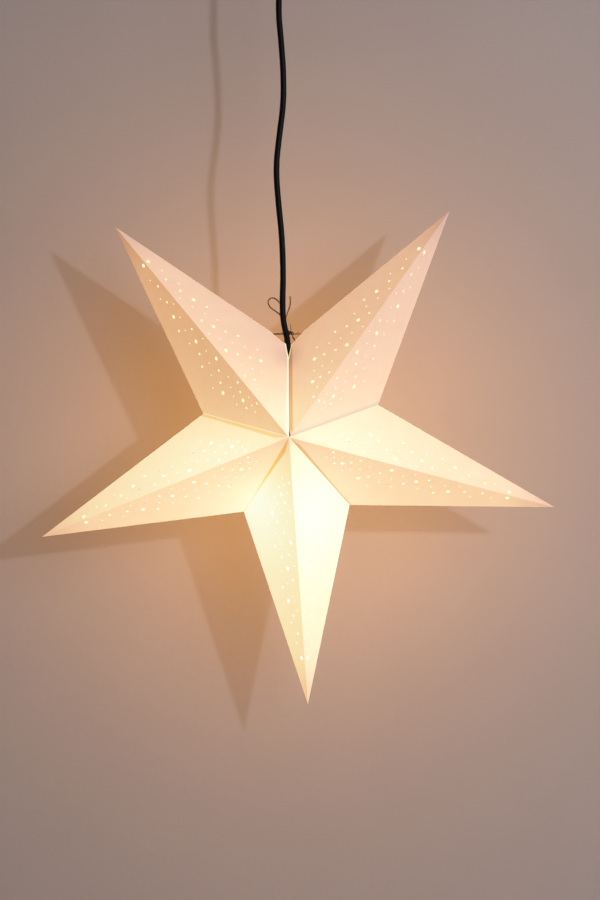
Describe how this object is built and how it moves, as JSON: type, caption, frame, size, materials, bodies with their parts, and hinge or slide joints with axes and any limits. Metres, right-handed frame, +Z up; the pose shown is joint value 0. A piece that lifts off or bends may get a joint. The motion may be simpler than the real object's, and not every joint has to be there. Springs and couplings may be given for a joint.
{
  "type": "paper star lantern",
  "caption": "Folded and perforated card star that hangs on a cord, lit from inside by a bulb in a pendant holder.",
  "frame": {"origin": "middle of the flat ceiling face of the strap and cup that carry the lantern", "axes": "+Z up, towards the ceiling; X across the star from left to right; the star's front looks along -Y"},
  "size_m": [0.5668, 0.17, 0.8365],
  "materials": {
    "card": "matt uncoated card, folded and punched",
    "twine": "twisted jute",
    "bulb": "frosted envelope on a metal screw cap",
    "holder_plastic": "moulded, fine satin",
    "contact_ceramic": "unglazed",
    "contact_brass": "pressed sheet",
    "zinc_plated_steel": "zinc plated",
    "cord_sheath": "matt extruded sheath",
    "cup_paint": "satin powder coat on pressed steel",
    "terminal_plastic": "moulded"
  },
  "bodies": {
    "root": {"point_top_left": "card", "point_top_right": "card", "point_right": "card", "point_bottom": "card", "point_left": "card", "twine_tie": "twine", "bulb": "bulb", "holder_body": "holder_plastic", "holder_cap": "holder_plastic", "contact_block": "contact_ceramic", "screw_shell": "contact_brass", "centre_contact": "contact_brass", "lamp_cord_grip": "holder_plastic", "lamp_grip_nut": "zinc_plated_steel", "cord": "cord_sheath", "ceiling_cup": "cup_paint", "ceiling_strap": "zinc_plated_steel", "cup_screws": "zinc_plated_steel", "terminal_block": "terminal_plastic", "ceiling_cord_grip": "holder_plastic"}
  },
  "joints": []
}
